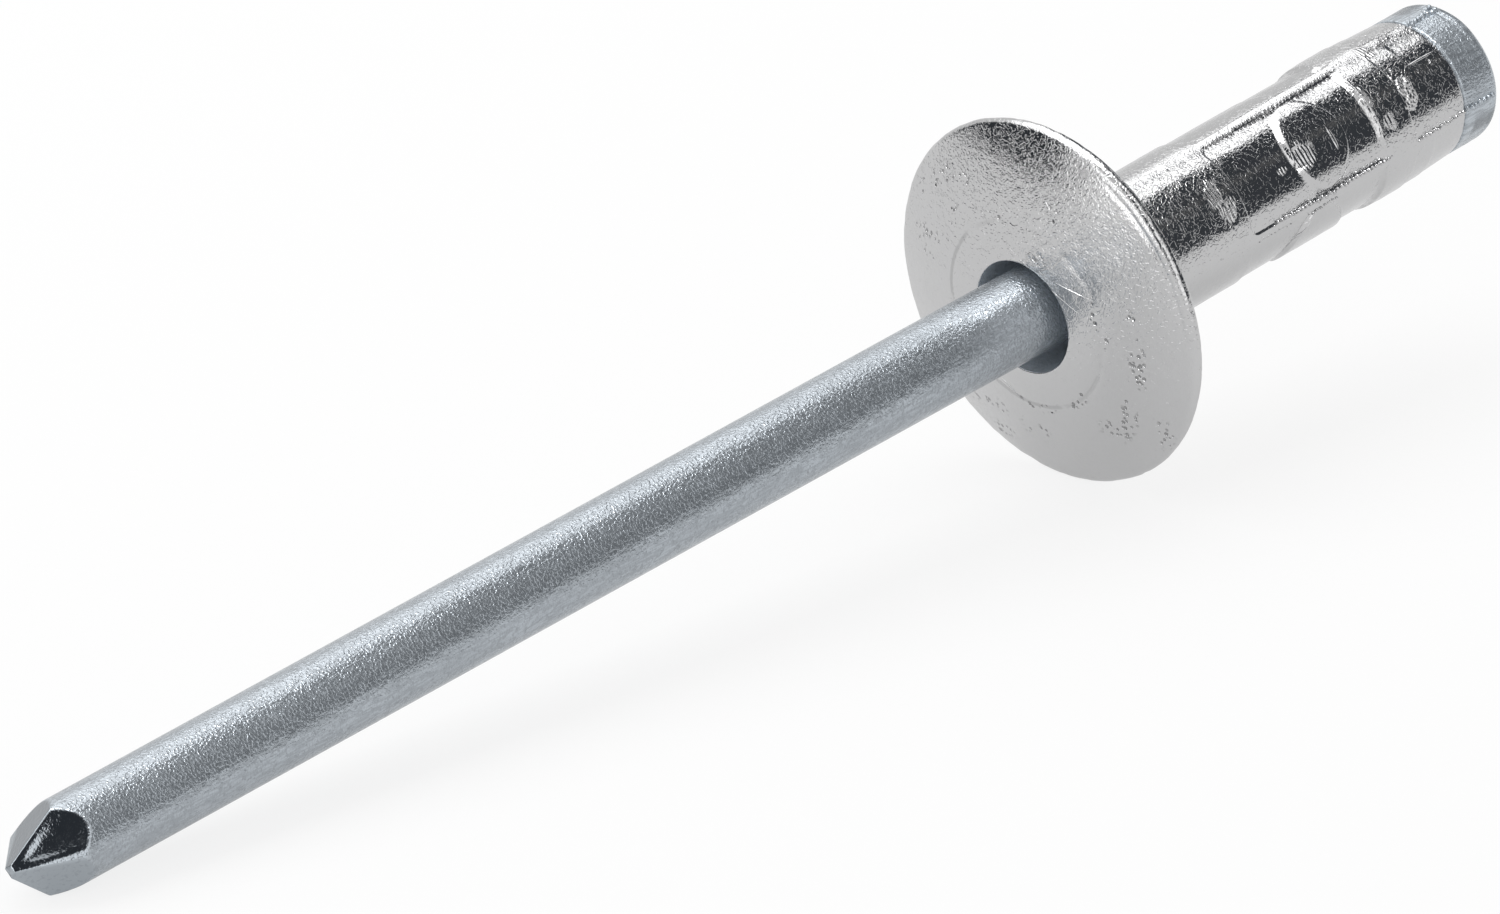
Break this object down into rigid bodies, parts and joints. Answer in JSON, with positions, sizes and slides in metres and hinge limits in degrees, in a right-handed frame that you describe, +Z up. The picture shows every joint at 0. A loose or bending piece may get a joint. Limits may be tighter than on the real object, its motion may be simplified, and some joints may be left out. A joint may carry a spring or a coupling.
{
  "type": "blind rivet",
  "caption": "Unset blind rivet: aluminium body with a wide domed flange and a crimped shank, on a zinc-plated steel mandrel with a four-sided point.",
  "frame": {"origin": "on the surface that the rivet lies on, under the centre of its bounding box", "axes": "+Z up; +X along the rivet in plan, from the mandrel's point to the blind end; the rivet lies on its flange rim and on the ridge behind the mandrel's point, so its axis rises towards the blind end"},
  "size_m": [0.0422, 0.008, 0.0079],
  "materials": {
    "aluminium": "bright, finely pitted cold-headed aluminium alloy",
    "zinc_plated_steel": "zinc-plated drawn wire, blue passivated, with fine speckle along the wire"
  },
  "bodies": {
    "root": {"rivet_body": "aluminium", "mandrel": "zinc_plated_steel"}
  },
  "joints": []
}
